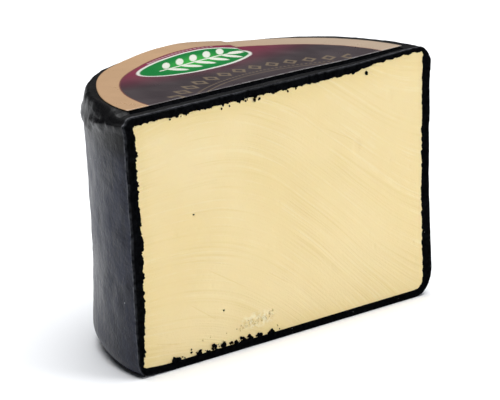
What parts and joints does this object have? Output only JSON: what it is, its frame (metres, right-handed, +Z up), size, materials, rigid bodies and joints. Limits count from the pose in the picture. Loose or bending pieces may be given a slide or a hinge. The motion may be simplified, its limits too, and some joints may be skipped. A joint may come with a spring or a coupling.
{
  "type": "cheese wheel half",
  "caption": "Half of a small round cheddar wheel in a black wax coat, cut straight through to show pale yellow cheese, with a round paper label on top.",
  "frame": {"origin": "bottom of the wheel, in the middle of the half wheel's width and depth", "axes": "+Z up, standing on the base as a whole wheel would; +X along the cut face's width; the cut face looks along -Y and the round back along +Y"},
  "size_m": [0.1614, 0.0808, 0.1057],
  "materials": {
    "cheese_paste": "moist, softly satin, slightly translucent cut cheddar",
    "black_wax": "satin black cheese wax, streaked and dented by hand dipping",
    "label_paper": "glossy printed paper, creased, tan ring round a dark burgundy disc"
  },
  "bodies": {
    "root": {"cheese": "cheese_paste", "wax_coat": "black_wax", "label": "label_paper"}
  },
  "joints": []
}
